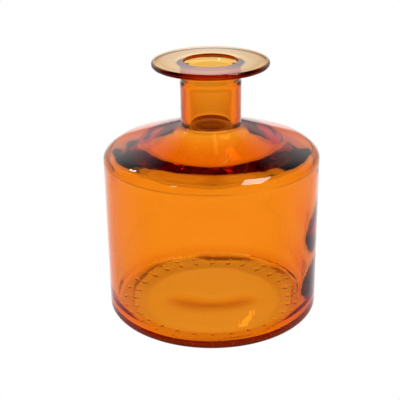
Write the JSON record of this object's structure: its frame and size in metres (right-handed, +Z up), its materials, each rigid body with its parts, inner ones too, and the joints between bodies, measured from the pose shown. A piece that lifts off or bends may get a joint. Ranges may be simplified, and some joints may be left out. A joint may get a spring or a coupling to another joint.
{
  "type": "glass bottle vase",
  "caption": "Wide cylindrical glass bottle vase with a domed shoulder, short straight neck and flat flared lip; knurled foot ring and recessed base.",
  "frame": {"origin": "on the axis, at the level the vase stands on", "axes": "+Z up along the axis, towards the mouth; X and Y level, +X through one knurl bar"},
  "size_m": [0.099, 0.099, 0.12],
  "materials": {
    "amber_glass": "clear amber glass, fire-polished, slightly uneven inside",
    "lip_glass": "clear pale amber glass, fire-polished"
  },
  "bodies": {
    "root": {"lip_flange": "lip_glass", "neck": "amber_glass", "shoulder": "amber_glass", "body_wall": "amber_glass", "heel_ring": "amber_glass", "base_floor": "amber_glass"}
  },
  "joints": []
}
